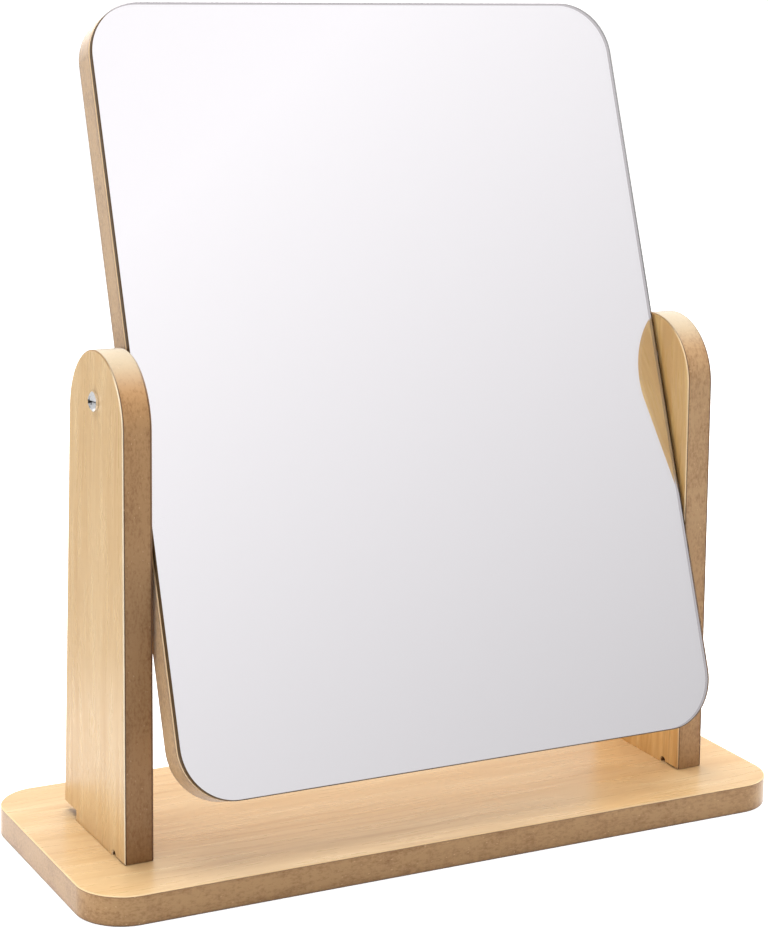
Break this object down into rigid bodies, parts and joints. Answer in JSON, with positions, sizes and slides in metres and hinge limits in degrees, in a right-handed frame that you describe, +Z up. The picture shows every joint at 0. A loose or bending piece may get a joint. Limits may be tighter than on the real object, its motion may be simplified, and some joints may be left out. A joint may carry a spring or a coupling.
{
  "type": "tilting vanity mirror",
  "caption": "Frameless table mirror: a faced board with mirror glass, turning on screw pivots between round-headed wooden uprights tenoned into a base board.",
  "frame": {"origin": "middle of the base board's underside, on the table", "axes": "+X along the base board and the pivot line, +Y from the mirrored side to the back, +Z up"},
  "size_m": [0.252, 0.0989, 0.2707],
  "materials": {
    "grain_facing": "pale straight-grained wood sheet, satin",
    "raw_fibreboard": "raw cut fibreboard, matt",
    "mounting_tape": "cream double-sided foam tape",
    "mirror": "back-silvered float glass, arrised edge",
    "screw_chrome": "bright zinc-nickel plate",
    "washer_nylon": "natural nylon"
  },
  "bodies": {
    "stand": {"base_bottom_facing": "grain_facing", "base_core": "raw_fibreboard", "base_top_facing": "grain_facing", "left_upright_outer_facing": "grain_facing", "left_upright_core": "raw_fibreboard", "left_upright_inner_facing": "grain_facing", "right_upright_inner_facing": "grain_facing", "right_upright_core": "raw_fibreboard", "right_upright_outer_facing": "grain_facing"},
    "mirror": {"panel_back_facing": "grain_facing", "panel_core": "raw_fibreboard", "panel_front_facing": "grain_facing", "mirror_tape": "mounting_tape", "mirror_glass": "mirror", "left_pivot_screw": "screw_chrome", "left_pivot_washer": "washer_nylon", "right_pivot_screw": "screw_chrome", "right_pivot_washer": "washer_nylon"}
  },
  "joints": [
    {"name": "mirror_tilt", "type": "hinge", "parent": "stand", "child": "mirror", "pos_m": [0, 0, 0.1505], "axis": [1, 0, 0], "continuous": true}
  ]
}
